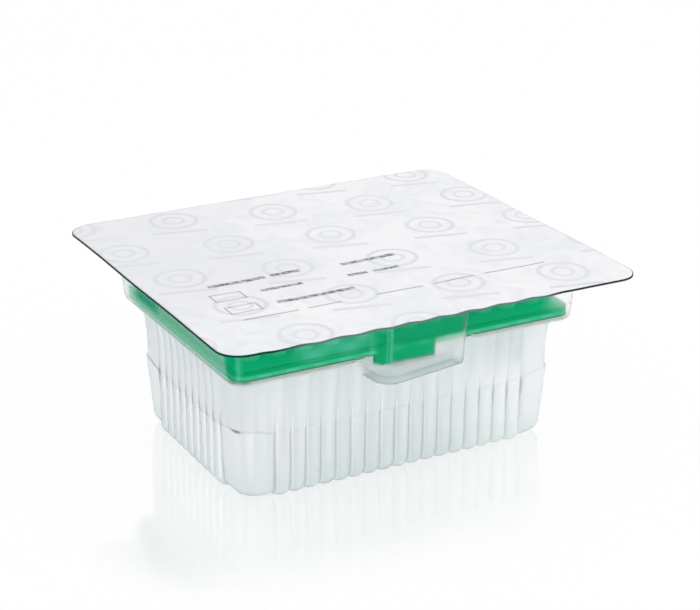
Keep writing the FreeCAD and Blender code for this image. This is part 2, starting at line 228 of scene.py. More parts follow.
def crease_height(column):
    """The crease is level along the flutes and arches up over the posts and the corners."""
    side, kind, place, share = column
    if kind == "flute":
        edge = FLUTES[side % 2] * PITCH / 2
        return CREASE + 0.35 * smooth(edge - 6, edge, abs(place))
    if kind == "corner":
        return CREASE + 1.9
    return CREASE + 0.35 + 1.55 * share**1.4


def flute_height(column, rise):
    """How far a flute's arc stands out from its valleys at a column."""
    side, kind, place, _ = column
    if kind != "flute":
        return 0.0
    half = PITCH / 2
    edge = FLUTES[side % 2] * half
    within = (place + edge) % PITCH - half
    bow = (half**2 + rise**2) / (2 * rise)
    return math.sqrt(max(bow**2 - within**2, 0.0)) - (bow - rise)


def toe_drawn(z):
    """How much of the foot's rounding draws the wall in at a height: 1 on the floor, then less."""
    return 1 - math.sin(math.acos(max(1 - z / TOE_HIGH, -1.0)))


def post_out(z, crease):
    """How far outside the body's own plane the wall stands at a height, between the flutes."""
    if z <= TOE_HIGH:
        return -TOE_DRAFT - TOE_IN * toe_drawn(z)
    below = table(z, ((TOE_HIGH, -TOE_DRAFT), (crease, 0.0)))
    above = table(z, (
        (30.0, -0.4), (33.0, -0.25), (36.0, 0.02), (39.0, 0.42), (40.6, 0.75), (41.6, 1.08),
        (LEDGE, 1.5),
    ))
    step = smooth(crease - 0.12, crease + 0.55, z)
    return mix(below, above, step)


def flute_form(z, crease):
    """The valleys' depth behind the posts, and the flutes' rise from them."""
    if z <= TOE_HIGH:
        return 0.0, FLUTE_RISE + FLUTE_MORE * toe_drawn(z)
    below_valley = -VALLEY_DEEP * smooth(6.0, crease - 1.0, z)
    below_rise = mix(FLUTE_RISE, CREASE_RISE, (z - TOE_HIGH) / (crease - TOE_HIGH))
    above_rise = table(z, ((crease, 0.42), (33.0, 0.4), (40.0, 0.35), (LEDGE, 0.12)))
    step = smooth(crease - 0.12, crease + 0.6, z)
    return mix(below_valley, 0.0, step), mix(below_rise, above_rise, step)


def body_spot(column, z):
    """A column's place on the lower body at a height."""
    crease = crease_height(column)
    post = post_out(z, crease)
    valley, rise = flute_form(z, crease)
    bulge = 0.0
    if column[1] == "flute":
        bulge = valley + flute_height(column, rise)
    half = (BODY[0] + post, BODY[1] + post)
    return spot(column, half, BODY_R, bulge)


def upper_out(z):
    """The upper wall's outward place at a height, counted from its foot."""
    share = (z - LEDGE) / (TOP - GAUGE - LEDGE)
    return UPPER_FLARE * share


def upper_spot(column, z, more=0.0):
    """A column's place on the upper wall at a height, or that much further out."""
    out = upper_out(z) + more
    return spot(column, (UPPER[0] + out, UPPER[1] + out), UPPER_R + out)


# ---------------------------------------------------------------- the thumb recess

RECESS_X = 1.5
RECESS_FLOOR = SEAT - 7.1
RECESS_TILT, RECESS_SKEW = math.tan(math.radians(3.5)), math.tan(math.radians(4.0))
RECESS_TILTED = 18.0
# its half widths to the left and the right and its reach, each at the floor and at the top
RECESS_LEFT, RECESS_RIGHT, RECESS_REACH = (15.3, 15.6), (14.0, 15.5), (5.2, 6.9)
# the rounding at its ends, as a width and a depth: at the right, and at the left high and low
ROUND_RIGHT, ROUND_LEFT, ROUND_LEFT_LOW = (1.2, 1.4), (1.6, 2.2), (6.0, 8.0)
# the rounding is left for a straight slope at this share of its width
ROUND_TO = 0.94
# how steeply its ends run back into the wall: at the floor, and above the ledge
FLARE_SLOPES = (0.07, math.tan(math.radians(26.0)))
# a point that the recess moves further than this belongs to it
RECESS_FROM = 0.8
# the roundings of the step at its floor, into the wall and out of it
STEP_IN_R, STEP_OUT_R = 0.8, 1.1


def recess_floor(x):
    return RECESS_FLOOR + max(min(x - RECESS_X, RECESS_TILTED), -RECESS_TILTED) * RECESS_TILT


def recess_edge(x, z):
    """How far a place lies from the recess's middle, and the recess's half width on that side."""
    rise = (z - RECESS_FLOOR) / (TOP - RECESS_FLOOR)
    across = x - RECESS_X
    return across, mix(*(RECESS_RIGHT if across > 0 else RECESS_LEFT), rise)


def recess_reach(x, z):
    """How far towards -Y the recess stands at a place, or a low number outside it."""
    across, half = recess_edge(x, z)
    front = UPPER[1] + mix(*RECESS_REACH, (z - RECESS_FLOOR) / (TOP - RECESS_FLOOR))
    front -= across * RECESS_SKEW
    wide, deep = ROUND_RIGHT
    if across <= 0:
        low = 1 - smooth(RECESS_FLOOR + 1.0, RECESS_FLOOR + 9.0, z)
        wide, deep = (mix(high, foot, low) for high, foot in zip(ROUND_LEFT, ROUND_LEFT_LOW))
    turn = (abs(across) - half + wide) / wide
    if turn <= 0:
        return front
    bent = min(turn, ROUND_TO)
    slope = mix(*FLARE_SLOPES, smooth(RECESS_FLOOR, SEAT + 1.0, z))
    return front - deep * (1 - math.sqrt(1 - bent**2)) - (turn - bent) * wide / slope


# ---------------------------------------------------------------- the tray's profile


class Profile:
    """One column's points with their zones, from the floor up the wall and out to the flange's
    edge. Every column has the same rows."""

    def __init__(self, column):
        self.column = column
        self.front = column[0] == 0 and column[1] != "corner"
        self.crease = crease_height(column)
        self.points, self.zones = [], []
        self.add_floor()
        self.add_body()
        self.add_recess_step()
        self.add_waist()
        self.add_ledge()
        self.add_upper_wall()
        self.add_flange()

    def add(self, xy, z, zone):
        self.points.append((xy[0], xy[1], z))
        self.zones.append(zone)

    def add_wall(self, xy, z, zone, blend=0.7):
        """A point of the wall, moved out to the recess's face where that stands further out."""
        x, y = xy
        if self.front:
            y = -soft_max(-y, recess_reach(x, z), blend)
        self.add((x, y), z, "recess" if y < xy[1] - RECESS_FROM else zone)

    def add_floor(self):
        foot = post_out(0.0, self.crease)
        bulge = flute_height(self.column, FLUTE_RISE + FLUTE_MORE)
        for inset, share in ((4.0, 0.0), (1.6, 0.35), (0.5, 0.85)):
            half = (BODY[0] + foot - inset, BODY[1] + foot - inset)
            self.add(spot(self.column, half, BODY_R - inset, share * bulge), 0.0, "floor")

    def add_body(self):
        toe = [TOE_HIGH * (1 - math.cos(math.radians(90 * step / 8))) for step in range(9)]
        for z in toe + [6.5, 9.5, 13.0, 16.5, self.crease - 2.2]:
            self.add(body_spot(self.column, z), z, "body")
        for lift in (-1.0, -0.4, -0.12, 0.03, 0.18, 0.35, 0.55, 0.9):
            z = self.crease + lift
            self.add(body_spot(self.column, z), z, "body" if lift < 0.1 else "waist")
        for z in (26.0, 30.0, 32.6):
            self.add(body_spot(self.column, z), z, "waist")

    def add_recess_step(self):
        """The recess's floor: a step outwards that is nothing away from the recess."""
        x = body_spot(self.column, RECESS_FLOOR)[0]
        self.level = recess_floor(x) if self.front else RECESS_FLOOR
        wall = body_spot(self.column, self.level)
        step = max(recess_reach(wall[0], self.level) + wall[1], 0.0) if self.front else 0.0
        inner, outer = min(STEP_IN_R, step * 0.35), min(STEP_OUT_R, step * 0.4)
        turns = (0.0, 0.5, 1.05, 1.57)
        ways = [(inner * (1 - math.cos(a)), -inner * (1 - math.sin(a))) for a in turns]
        ways += [(mix(inner, step - outer, 0.5), 0.0)]
        ways += [(step - outer + outer * math.sin(a), outer * (1 - math.cos(a))) for a in turns]
        # where there is no step, the rows are set apart in height instead
        loose = 1 - smooth(0.0, 1.2, step)
        for index, (out, lift) in enumerate(ways):
            z = self.level + lift + (index - 4) * 0.22 * loose
            x, y = body_spot(self.column, z)
            self.add((x, y - out), z, "recess" if out > 0.5 else "waist")

    def add_waist(self):
        start = self.level + 4.0
        heights = [self.level + lift for lift in (1.2, 2.0, 2.6, 3.0, 3.4, 4.0)]
        heights += [mix(start, LEDGE, share) for share in (0.35, 0.7, 0.9)]
        for z in heights:
            self.add_wall(body_spot(self.column, z), z, "waist", 0.35)

    def add_ledge(self):
        """The ledge and the groove along its lip. Beside the recess both are calm: they rise
        steadily, so that they don't fold there."""
        inner = body_spot(self.column, LEDGE)
        foot = spot(self.column, (UPPER[0] - LIP_R, UPPER[1] - LIP_R), UPPER_R - LIP_R)
        calm = 0.0
        if self.front:
            across, half = recess_edge(inner[0], LEDGE)
            calm = 1 - smooth(4.2, 8.0, abs(across) - half)
        for share, drop in ((0.12, 0.1), (0.3, 0.5), (0.75, 1.0)):
            xy = (mix(inner[0], foot[0], share), mix(inner[1], foot[1], share))
            z = LEDGE + mix(-drop * (LIP_DROP - 0.4), 0.05 + 0.1 * drop, calm)
            self.add_wall(xy, z, "ledge")
        for index, angle in enumerate((0, 15, 35, 50, 62, 74, 90)):
            turned = math.radians(angle)
            z = LEDGE - LIP_DROP + LIP_R * (1 - math.cos(turned))
            xy = upper_spot(self.column, z, -LIP_R * (1 - math.sin(turned)))
            z = mix(z, LEDGE + 0.2 + 0.16 * index, calm)
            self.add_wall(xy, z, "ledge" if angle < 60 else "upper")

    def add_upper_wall(self):
        for z in (45.0, 48.0, 51.0, 54.0, 57.0, 59.0):
            self.add_wall(upper_spot(self.column, z), z, "upper")
        for angle in (30, 60, 90):
            turned = math.radians(angle)
            base = upper_spot(self.column, TOP - GAUGE, BRIM_R * (1 - math.cos(turned)))
            z = TOP - GAUGE - BRIM_R * (1 - math.sin(turned))
            self.add_wall(base, z + sag(*base), "upper", 0.9)

    def add_flange(self):
        brim = self.points[-1]
        edge = spot(self.column, FLANGE, FLANGE_R)
        for share in (0.12, 0.35, 0.62, 0.85, 0.96, 1.0):
            xy = (mix(brim[0], edge[0], share), mix(brim[1], edge[1], share))
            self.add(xy, TOP - GAUGE + sag(*xy), "flange")


# ---------------------------------------------------------------- the tray's looks
#
# Each point has four values: how hazy the sheet is, how frosted, and how strongly a painted shade line
# and a painted highlight line show there, standing for the light that a real sheet bends. The curves
# across a flute bend at its own columns (see BENDS), and those across the recess are in millimetres.

BODY_HAZE = 0.36


def flute_marks(side, place, z, crease):
    """Painted shade lines in the valleys between the flutes and painted highlight lines beside them."""
    edge = FLUTES[side % 2] * PITCH / 2
    # from -1 at a flute's left valley to 1 at its right one
    across = 1.0 if abs(place) > edge - 0.01 else ((place + edge) % PITCH) / (PITCH / 2) - 1
    valley = 1 - abs(across)
    foot = smooth(-0.5, 2.0, z)
    deep = foot * (1 - smooth(crease - 0.5, crease + 4.5, z))
    thin = table(valley, ((0.0, 1.0), (0.061, 0.35), (0.1, 0.0)))
    dark = 0.13 * thin * deep
    if side % 2 == 0:
        if side == 0:
            # the front's far end has its valleys painted darker with shade, and a short stroke of
            # painted shade where they start
            line = table(valley, ((0.0, 1.0), (0.061, 0.7), (0.12, 0.0)))
            stroke = 0.4 * smooth(16.0, 36.0, place) * near(z, crease - 3.5, 5.0)
            dark += line * (0.1 * smooth(-5.0, 30.0, place) * deep + stroke)
            reach = smooth(-0.5, 1.5, z) * (1 - smooth(crease - 0.5, crease + 6.0, z))
            dark = max(dark, 0.27 * thin * reach)
        return dark, 0.14 * table(valley, ((0.061, 0.0), (0.18, 1.0), (0.38, 0.0))) * deep
    # the short sides get painted shade on each flute's dark flank and a painted highlight on its bright
    # one, as seen from the front
    lean = across if side == 3 else -across
    light = table(lean, (
        (0.13, 0.0), (0.38, 0.1), (0.62, 0.35), (0.82, 1.0), (0.94, 0.3), (1.0, 0.0),
    ))
    light *= smooth(0.5, 5.0, z) * (1 - smooth(crease - 1.5, crease + 0.8, z))
    band = table(lean, (
        (-1.0, 1.0), (-0.82, 0.95), (-0.62, 0.6), (-0.38, 0.2), (-0.13, 0.0), (0.94, 0.0), (1.0, 1.0),
    ))
    band *= smooth(0.0, 4.0, z) * (1 - smooth(crease - 0.5, crease + 2.5, z))
    strength = mix(0.3, 0.8, smooth(crease - 5.5, crease - 0.8, z)) * (1.0 if side == 3 else 0.5)
    return max(dark, band * strength), light


def post_marks(column, z, crease):
    """A painted shade line along the crease round the posts and the corners."""
    side, kind, place, share = column
    line = 1 - smooth(0.2, 0.45, abs(z - crease - 0.1))
    if side % 2 == 0:
        return line * (0.07 if place * (1 - side) < 0 else 0.0)
    if kind == "corner":
        turn = place if side == 3 else 1 - place
        return line * table(turn, ((0.0, 0.2), (0.2, 0.65), (0.35, 0.65), (0.45, 0.0)))
    return line * (0.15 * smooth(0.6, 1.0, share) if place * (2 - side) < 0 else 0.18)


def body_looks(column, point, zone, crease):
    side, kind, place, _ = column
    x, _, z = point
    if kind == "flute":
        dark, light = flute_marks(side, place, z, crease)
    else:
        dark, light = post_marks(column, z, crease), 0.0
        # a faint painted shade over the left side's posts and corners in the waist
        if zone == "waist" and side == 3:
            dark = max(dark, 0.05)
    if kind == "flute" and side == 0:
        # painted light towards the right end, painted shade in the waist there and just under the ledge
        light = max(light, 0.3 * smooth(8.0, 40.0, x) * (1 - smooth(20.0, 36.0, z)))
        shaded = 0.08 * smooth(20.0, 40.0, x) * smooth(22.0, 34.0, z)
        shade_under_ledge = 0.25 * near(z, LEDGE - 0.6, 0.9) * (1 - 0.6 * smooth(10.0, 30.0, x))
        dark = max(dark, shaded, shade_under_ledge)
    return BODY_HAZE, 0.5 if zone == "waist" else 0.35, dark, light


def ledge_looks(column, point):
    """A pale band with a painted shade line in the groove, weaker on the front."""
    line = 1 - smooth(0.12, 0.4, point[2] - LEDGE + LIP_DROP)
    if column[0] == 0:
        return 0.5, 0.4, 0.14 * line, 0.0
    return 0.85, 0.4, 0.3 * line, 0.0


def recess_marks(x, z):
    """Painted lines round the recess: highlights where its left end leads into it, shade at its right.
    """
    across, half = recess_edge(x, z)
    if across >= 0:
        dark = 0.6 * near(across, half + 0.9, 0.5) * smooth(43.5, 48.0, z)
        return max(0.7 * near(across, half - 0.3, 0.4), dark), 0.0
    light = max(0.1 * near(across, 1.0 - half, 0.5), 0.14 * near(across, 2.4 - half, 0.9))
    light *= smooth(37.5, 39.5, z)
    light = max(light, 0.16 * near(across, -half - 1.7, 0.35))
    # a pale painted highlight along the wall to the left, uneven as the flange's waves are
    gleam = smooth(46.6, 47.8, z) * (1 - smooth(50.5, 54.0, z))
    gleam *= 0.05 + 0.11 * (0.5 + 0.5 * front_wave(x, -z))
    gleam *= smooth(0.0, 3.0, -half - across) * smooth(-43.0, -36.0, x)
    return 0.0, max(light, gleam)


def recess_looks(point):
    """Clear high up and veiled below, with a band of painted shade just above its floor."""
    x, _, z = point
    dark, light = recess_marks(x, z)
    rise = z - recess_floor(x)
    # the band reaches 3 mm above the floor, and comes down to it at the right
    lip = 3.0 - 2.6 * smooth(10.0, 15.0, x)
    band = table(rise - lip, (
        (-2.9, 0.12), (-1.6, 0.12), (-0.3, 0.3), (0.0, 0.42), (0.45, 0.1), (0.9, 0.0),
    ))
    band *= smooth(-0.5, 0.3, rise) * mix(0.65, 1.0, smooth(-9.0, -3.0, x))
    # a painted shade line along the floor, and a faint painted shade over the veiled part
    line = 0.42 * near(rise, 0.1, 0.35)
    below = 1 - smooth(41.0, 42.0, z)
    beside = smooth(4.0, 5.2, x) * (1 - smooth(45.6, 46.6, z))
    veiled = max(below, beside)
    across, half = recess_edge(x, z)
    frost = mix(0.75, 0.45, smooth(41.0, 43.0, z)) if across < 1.5 - half else 0.8
    return 0.33 * veiled, frost, max(dark, band, line, 0.06 * veiled), light


def upper_looks(column, point):
    side, kind, place, _ = column
    x, y, z = point
    if side == 3 and kind == "corner":
        # the near corner gets two painted shade lines and a painted highlight between them
        fade = 1 - smooth(50.0, 54.0, z)
        dark = fade * table(place, (
            (0.05, 0.0), (0.15, 0.28), (0.35, 0.28), (0.5, 0.0), (0.63, 0.0), (0.68, 0.22), (0.75, 0.0),
        ))
        return 0.0, 0.05, dark, 0.15 * fade * near(place, 0.56, 0.1)
    if side == 3:
        # the left wall scatters light all along as haze, with a faint painted highlight, and carries a
        # painted green shade with one deep green streak of it
        painted_green_shade = 0.13 * (1 - smooth(49.5, 51.5, z)) * smooth(-36.0, -30.0, -y)
        shade_streak = 0.85 * near(z, 48.0, 2.8) * smooth(-30.0, -26.0, -y)
        shade_streak *= 1 - smooth(-14.0, -8.0, -y)
        end = 0.6 * smooth(26.0, 32.0, y) * smooth(48.0, 51.0, z)
        haze = 0.04 + max(0.4 * smooth(31.0, 36.0, y), end)
        return haze, 0.5, max(painted_green_shade, shade_streak), 0.06 * smooth(-36.0, -32.0, -y)
    dark, light = recess_marks(x, z) if side == 0 and kind == "flute" else (0.0, 0.0)
    if side == 0 and x > 44.0:
        # a painted pale highlight from the corner lies over the far end of the plate, with haze
        gleam = smooth(46.5, 50.0, z) * smooth(46.0, 56.0, x)
        light = max(light, 0.25 * gleam * (1 - smooth(55.0, 59.0, x)))
        haze = 0.3 * gleam + 0.1 * smooth(53.0, 57.0, x)
        return haze, 0.05 + 0.5 * smooth(44.0, 50.0, x), dark, light
    if side == 2 and kind == "corner":
        return 0.3, 0.5, dark, light
    return 0.0, 0.05, dark, light


def looks_at(column, point, zone, crease):
    """How hazy and frosted the sheet is at a point, and how strong its painted shade and highlights
    are.
    """
    if zone in ("floor", "body", "waist"):
        return body_looks(column, point, zone, crease)
    if zone == "ledge":
        return ledge_looks(column, point)
    if zone == "recess":
        return recess_looks(point)
    if zone == "flange":
        return 0.1, 0.2, 0.0, 0.0
    return upper_looks(column, point)


# ---------------------------------------------------------------- the tray's mesh


def mesh_object(name, vertices, faces):
    mesh = bpy.data.meshes.new(name)
    mesh.from_pydata([(x * MM, y * MM, z * MM) for x, y, z in vertices], [], faces)
    mesh.validate()
    thing = bpy.data.objects.new(name, mesh)
    bpy.context.scene.collection.objects.link(thing)
    return thing


def skin_normals(skin, quads, rows):
    """The skin's outward directions, straight down over the floor."""
    across = skin[quads[:, 2]] - skin[quads[:, 0]]
    along = skin[quads[:, 3]] - skin[quads[:, 1]]
    facing = np.cross(across, along)
    normals = np.zeros_like(skin)
    for corner in range(4):
        np.add.at(normals, quads[:, corner], facing)
    for row in range(3):
        normals[row::rows] = (0, 0, -1)
    return normals / np.maximum(np.linalg.norm(normals, axis=1, keepdims=True), 1e-9)


def join_and_crease(tray):
    """Joins the points that meet, keeps sharp edges sharp and gives the cut edge its material."""
    bm = bmesh.new()
    bm.from_mesh(tray.data)
    bmesh.ops.remove_doubles(bm, verts=bm.verts, dist=0.002 * MM)
    for edge in bm.edges:
        if len(edge.link_faces) == 2 and edge.calc_face_angle(0) > math.radians(70):
            edge.smooth = False
    brink = bm.verts.layers.float["brink"]
    for face in bm.faces:
        face.material_index = int(all(vert[brink] > 0.5 for vert in face.verts))
    bm.to_mesh(tray.data)
    bm.free()


def build_tray():
    """The sheet as a closed solid: the outer skin, the same skin drawn in by the gauge, and the
    flange's edge between them."""
    profiles = [Profile(column) for column in COLUMNS]
    rows, count = len(profiles[0].points), len(profiles)
    skin = np.array([point for profile in profiles for point in profile.points])
    quads = np.array([
        (index * rows + row, (index + 1) % count * rows + row,
         (index + 1) % count * rows + row + 1, index * rows + row + 1)
        for index in range(count) for row in range(rows - 1)
    ])
    inside = skin - skin_normals(skin, quads, rows) * GAUGE
    inside = np.clip(inside, (-FLANGE[0], -FLANGE[1], 0.0), (FLANGE[0], FLANGE[1], TOP))
    size = len(skin)
    edge = [index * rows + rows - 1 for index in range(count)]
    foot = [index * rows for index in range(count)]
    faces = [tuple(quad) for quad in quads]
    faces += [tuple(size + corner for corner in reversed(quad)) for quad in quads]
    for a, b in zip(edge, edge[1:] + edge[:1]):
        faces.append((a, b, size + b, size + a))
    faces.append(tuple(reversed(foot)))
    faces.append(tuple(size + corner for corner in foot))
    tray = mesh_object("formed_tray", np.concatenate([skin, inside]).tolist(), faces)
    tray.data.shade_smooth()
    looks = np.array([
        looks_at(profile.column, point, zone, profile.crease)
        for profile in profiles for point, zone in zip(profile.points, profile.zones)
    ])
    for index, name in enumerate(("haze", "frost", "dark", "light")):
        layer = tray.data.attributes.new(name, "FLOAT", "POINT")
        layer.data.foreach_set("value", np.tile(looks[:, index], 2).astype(np.float32))
    # the flange's cut edge, with the last strip of its top
    brink = tray.data.attributes.new("brink", "FLOAT", "POINT")
    brink.data.foreach_set("value", [
        float(i % rows == rows - 1 or i >= size and i % rows == rows - 2) for i in range(2 * size)
    ])
    join_and_crease(tray)
    return tray


tray = build_tray()
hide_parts("blister_tray")
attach(tray, "root")

# ---------------------------------------------------------------- the film

FILM_R, FILM_GAUGE = FLANGE_R - 0.3, 0.13
FILM_STEPS = (140, 126)
RIPPLE = 0.16


def film_point(a, b, half):
    """A grid's point moved so that the grid's square corners become round ones."""
    over_x, over_y = abs(a) - (half[0] - FILM_R), abs(b) - (half[1] - FILM_R)
    if over_x <= 0 or over_y <= 0:
        return a, b
    length = math.hypot(over_x, over_y)
    reach = max(over_x, over_y)
    return (
        math.copysign(half[0] - FILM_R + over_x * reach / length, a),
        math.copysign(half[1] - FILM_R + over_y * reach / length, b),
    )


def ripple(x, y):
    """The slack film's shallow ripples over the pocket."""
    inside = smooth(60.0, 50.0, abs(x)) * smooth(44.0, 36.0, abs(y))
    across = math.sin(x / 6.1 + 1.3 * math.sin(y / 11.0))
    along = math.sin(y / 7.3 + 1.1 * math.sin(x / 13.0))
    return -RIPPLE * inside * (1 + across * along)


def build_film():
    half = (film_high.x, film_high.y)
    steps_x, steps_y = FILM_STEPS
    vertices = []
    for j in range(steps_y + 1):
        for i in range(steps_x + 1):
            a = mix(-half[0], half[0], i / steps_x)
            b = mix(-half[1], half[1], j / steps_y)
            x, y = film_point(a, b, half)
            vertices.append((x, y, film_high.z + sag(x, y) + ripple(x, y)))
    row = steps_x + 1
    faces = [
        (j * row + i, j * row + i + 1, (j + 1) * row + i + 1, (j + 1) * row + i)
        for j in range(steps_y) for i in range(steps_x)
    ]
    film = mesh_object("printed_film", vertices, faces)
    film.data.shade_smooth()
    thick = film.modifiers.new("gauge", "SOLIDIFY")
    thick.thickness = FILM_GAUGE * MM
    thick.offset = -1
    return film


film = build_film()
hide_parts("seal_film")
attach(film, "root")

# ---------------------------------------------------------------- materials


def linear(r, g, b):
    """A colour written as it is seen, for a shader's socket."""
    def one(v):
        v /= 255
        return v / 12.92 if v <= 0.04045 else ((v + 0.055) / 1.055) ** 2.4
    return one(r), one(g), one(b), 1.0


class Nodes:
    """Short words for building the node tree of a material or of the world."""

    def __init__(self, owner):
        self.owner = owner
        owner.use_nodes = True
        self.tree = owner.node_tree
        self.tree.nodes.clear()

    def add(self, kind, inputs=None, **settings):
        """A new node. An input is linked if it is given another node's output."""
        node = self.tree.nodes.new(kind)
        for key, value in settings.items():
            setattr(node, key, value)
        for key, value in (inputs or {}).items():
            socket = node.inputs[key]
            if isinstance(value, bpy.types.NodeSocket):
                self.tree.links.new(value, socket)
            else:
                socket.default_value = value
        return node

    def finish(self, shader, kind="ShaderNodeOutputMaterial"):
        self.tree.links.new(shader, self.add(kind).inputs["Surface"])
        return self.owner

    # numbers and places

    def maths(self, operation, a, b=0.0, c=0.0):
        return self.add("ShaderNodeMath", {0: a, 1: b, 2: c}, operation=operation).outputs[0]

    def times(self, first, *others):
        for other in others:
            first = self.maths("MULTIPLY", first, other)
        return first

    def largest(self, first, *others):
        for other in others:
            first = self.maths("MAXIMUM", first, other)
        return first

    def length(self, a, b):
        """The length of a flat vector."""
        return self.maths("SQRT", self.maths("ADD", self.times(a, a), self.times(b, b)))

    def ramp(self, value, low, high, to_low=0.0, to_high=1.0):
        node = self.add(
            "ShaderNodeMapRange",
            {"Value": value, "From Min": low, "From Max": high, "To Min": to_low, "To Max": to_high},
            interpolation_type="SMOOTHSTEP",
        )
        return node.outputs["Result"]

    def over(self, value, low, high, to_low=0.0, to_high=1.0):
        """A ramp over a length whose ends are given in millimetres."""
        return self.ramp(value, low * MM, high * MM, to_low, to_high)

    def band(self, value, middle, half, soft=0.3):
        """1 where the value is within half of the middle."""
        off = self.maths("ABSOLUTE", self.maths("SUBTRACT", value, middle))
        return self.ramp(off, half - soft, half + soft, 1.0, 0.0)

    def block(self, x, y, across, up, soft=0.3):
        """1 on a rectangle, given as the middle and the half length of its two spans."""
        return self.times(self.band(x, *across, soft), self.band(y, *up, soft))

    def place(self):
        """X, Y and Z on the piece itself, in metres."""
        where = self.add("ShaderNodeTexCoord").outputs["Object"]
        return tuple(self.add("ShaderNodeSeparateXYZ", {0: where}).outputs)

    def noise(self, scale, detail, distortion=0.0):
        where = self.add("ShaderNodeTexCoord").outputs["Object"]
        inputs = {"Vector": where, "Scale": scale, "Detail": detail, "Distortion": distortion}
        return self.add("ShaderNodeTexNoise", inputs).outputs["Fac"]

    # colours

    def blend(self, factor, a, b):
        """Colour a with a share of colour b over it."""
        return self.add("ShaderNodeMix", {0: factor, 6: a, 7: b}, data_type="RGBA").outputs[2]

    def cover(self, share, tone, mark, paint):
        """A mark of paint laid over a share of tone: the joint share and its colour."""
        unmarked = (self.maths("SUBTRACT", 1.0, share), self.maths("SUBTRACT", 1.0, mark))
        joint = self.maths("SUBTRACT", 1.0, self.times(*unmarked))
        part = self.maths("DIVIDE", mark, self.maths("MAXIMUM", joint, 0.001))
        return joint, self.blend(part, tone, paint)

    # shaders and rays

    def plastic(self, tone, roughness, gloss):
        inputs = {"Base Color": tone, "Roughness": roughness, "Specular IOR Level": gloss}
        return self.add("ShaderNodeBsdfPrincipled", inputs).outputs[0]

    def join(self, share, a, b):
        """Shader a with a share of shader b over it."""
        return self.add("ShaderNodeMixShader", {0: share, 1: a, 2: b}).outputs[0]

    def direct_rays(self):
        """1 for what the camera sees straight, in a mirror or through the clear sheet."""
        path = self.add("ShaderNodeLightPath").outputs
        return self.largest(*(
            path[f"Is {kind} Ray"] for kind in ("Camera", "Glossy", "Transmission")
        ))

    def open_to_light(self, shader, share, color):
        """The shader as it is seen, with a share of the light let through it unseen."""
        way = self.add("ShaderNodeBsdfTransparent", {"Color": color}).outputs[0]
        path = self.add("ShaderNodeLightPath").outputs
        lets = self.maths("MAXIMUM", path["Is Shadow Ray"], path["Is Diffuse Ray"])
        if share < 1:
            lets = self.times(lets, share)
        return self.join(lets, shader, way)


def clear_material():
    """The clear sheet: glass, veiled by its haze, with its painted shade and painted highlights laid
    over it.
    """
    n = Nodes(bpy.data.materials.new("clear_formed_sheet"))
    haze, frost, dark, light = (
        n.add("ShaderNodeAttribute", attribute_name=name).outputs["Fac"]
        for name in ("haze", "frost", "dark", "light")
    )
    glass = n.add("ShaderNodeBsdfPrincipled", {
        "Base Color": linear(253, 254, 254),
        "Roughness": n.maths("MULTIPLY_ADD", frost, 0.42, 0.02),
        "IOR": 1.12,
        "Specular IOR Level": 0.08,
        "Transmission Weight": 1.0,
    }).outputs[0]
    # a painted grey shade where the sheet is seen at a grazing angle
    grazing = n.add("ShaderNodeLayerWeight", {"Blend": 0.5}).outputs["Facing"]
    edge = n.ramp(grazing, 0.7, 1.0)
    x, _, z = n.place()
    # the haze is cooler at the foot, and greener on the ledge with painted green light from the plate
    # above it
    foot = n.times(n.over(z, 3.0, 11.0, 1.0, 0.0), 0.5)
    tone = n.blend(foot, linear(252, 250, 254), linear(232, 242, 244))
    ledge = n.times(n.over(z, 40.3, 40.9), n.ramp(haze, 0.5, 0.6))
    tone = n.blend(ledge, tone, linear(214, 232, 226))
    # the painted shade marks are grey on the body, and greener the nearer they are to the plate
    shade = n.blend(n.over(z, 30.0, 34.0), linear(105, 122, 130), linear(104, 150, 140))
    shade = n.blend(n.over(z, 42.7, 43.3), shade, linear(0, 152, 112))
    # the painted highlights are white, and pale green beside the plate
    greener = n.times(n.over(z, 37.0, 39.0), n.over(x, 46.0, 53.0, 1.0, 0.0))
    gleam = n.blend(greener, linear(254, 254, 254), linear(134, 240, 222))
    share = haze
    for mark, paint in (
        (n.times(edge, 0.5), linear(150, 165, 170)), (light, gleam), (dark, shade),
    ):
        # each mark lies over what is already there
        share, tone = n.cover(share, tone, mark, paint)
    veil = n.add("ShaderNodeBsdfTranslucent", {"Color": tone}).outputs[0]
    milk = n.add("ShaderNodeBsdfDiffuse", {"Color": tone}).outputs[0]
    body = n.join(share, glass, n.join(0.8, veil, milk))
    return n.finish(n.open_to_light(body, 1.0, linear(254, 255, 255)))


def rim_material():
    """The flange's cut edge: dark, partly its own tint and partly painted shade, with painted light
    making it paler along the middle of the front.
    """
    n = Nodes(bpy.data.materials.new("cut_sheet_edge"))
    x, y, _ = n.place()
    middle = n.times(n.over(x, -58.0, -40.0), n.over(x, 34.0, 40.0, 1.0, 0.0))
    front = n.times(middle, n.over(y, -62.5, -61.8, 1.0, 0.0))
    return n.finish(n.plastic(n.blend(front, linear(22, 44, 46), linear(108, 108, 120)), 0.5, 0.1))


# The film's print, in millimetres: a slanting, staggered lattice of cells, each with two rings
# and a bar below them. A ring is its radius and half its width.
SLANT_COS, SLANT_SIN = 0.978, 0.208
CELL_WIDE, CELL_TALL, CELL_SHIFT = 34.0, 27.0, 0.37
RINGS, RINGS_UP = ((7.6, 0.75), (3.4, 0.6)), 3.0
RING_BAR = ((0.0, 9.0), (-8.6, 0.9))
# plain bars, each from left to right, then its middle height and half its thickness
BARS = (
    (-52.0, -33.0, -9.5, 1.0), (-31.0, -21.0, -9.5, 1.0), (-7.0, 12.0, -10.5, 1.0),
    (-39.0, -25.0, -19.5, 0.9), (-10.0, -3.0, -20.5, 0.9), (-1.0, 8.0, -20.5, 0.9),
    (-39.0, -13.0, -30.5, 1.0),
)
